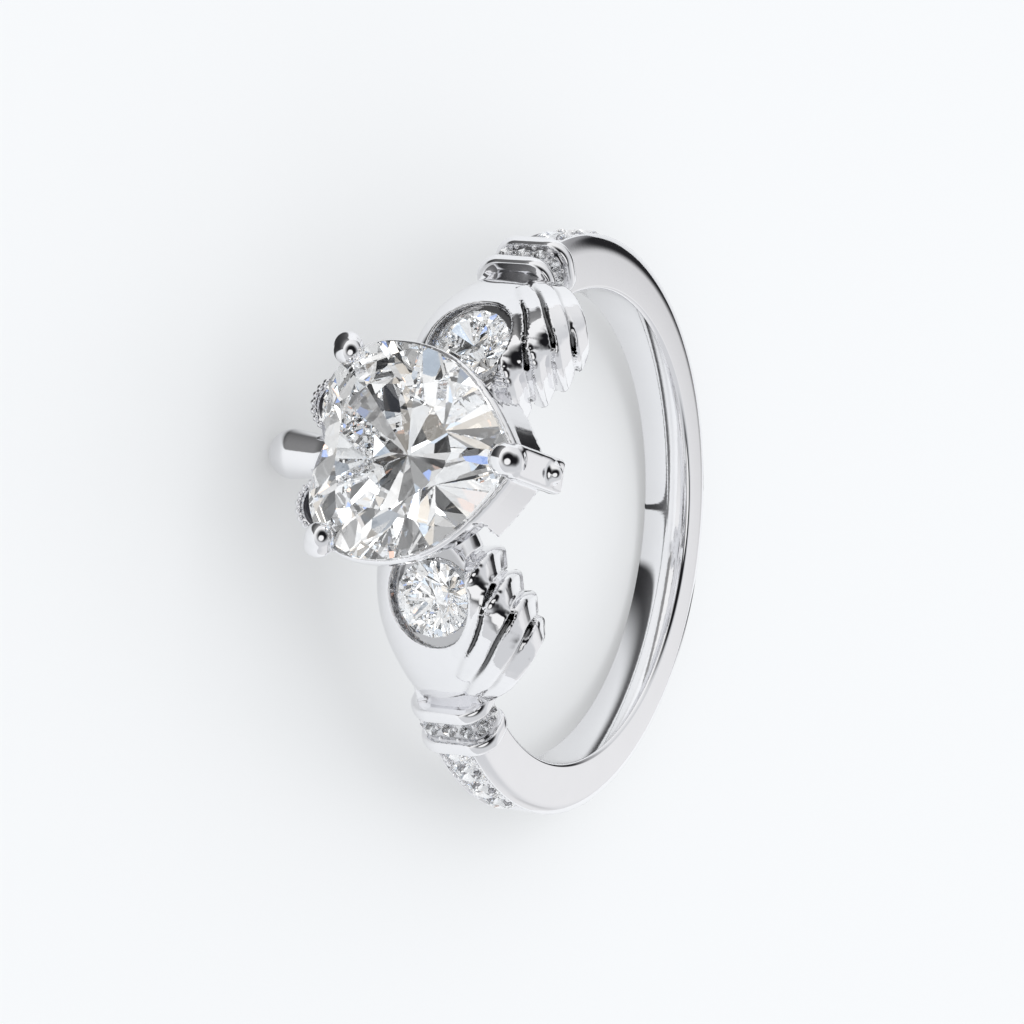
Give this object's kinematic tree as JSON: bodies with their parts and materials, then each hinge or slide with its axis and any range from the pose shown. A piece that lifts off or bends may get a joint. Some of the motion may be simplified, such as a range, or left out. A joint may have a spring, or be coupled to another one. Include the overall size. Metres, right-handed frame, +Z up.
{
  "type": "claddagh ring",
  "caption": "Polished white-metal ring lying on its side: two hands hold a faceted heart stone, with a crown behind it and small clear stones on hands, cuffs and shoulders.",
  "frame": {"origin": "middle of the bounding box's bottom, on the surface the ring lies on", "axes": "+X across the head from one hand to the other, +Y from the heart to the back of the hoop, +Z up"},
  "size_m": [0.0214, 0.0262, 0.0121],
  "materials": {
    "ring_metal": "mirror polished white metal",
    "heart_stone": "polished facets, colourless",
    "small_stones": "polished facets, colourless"
  },
  "bodies": {
    "root": {"ring_metal": "ring_metal", "heart_stone": "heart_stone", "hand_stone_1": "small_stones", "hand_stone_2": "small_stones", "cuff_stone_1": "small_stones", "cuff_stone_2": "small_stones", "cuff_stone_3": "small_stones", "cuff_stone_4": "small_stones", "cuff_stone_5": "small_stones", "cuff_stone_6": "small_stones", "cuff_stone_7": "small_stones", "cuff_stone_8": "small_stones", "cuff_stone_9": "small_stones", "cuff_stone_10": "small_stones", "cuff_stone_11": "small_stones", "cuff_stone_12": "small_stones", "cuff_stone_13": "small_stones", "cuff_stone_14": "small_stones", "shoulder_stone_1": "small_stones", "shoulder_stone_2": "small_stones", "shoulder_stone_3": "small_stones", "shoulder_stone_4": "small_stones", "shoulder_stone_5": "small_stones", "shoulder_stone_6": "small_stones", "shoulder_stone_7": "small_stones", "shoulder_stone_8": "small_stones"}
  },
  "joints": []
}
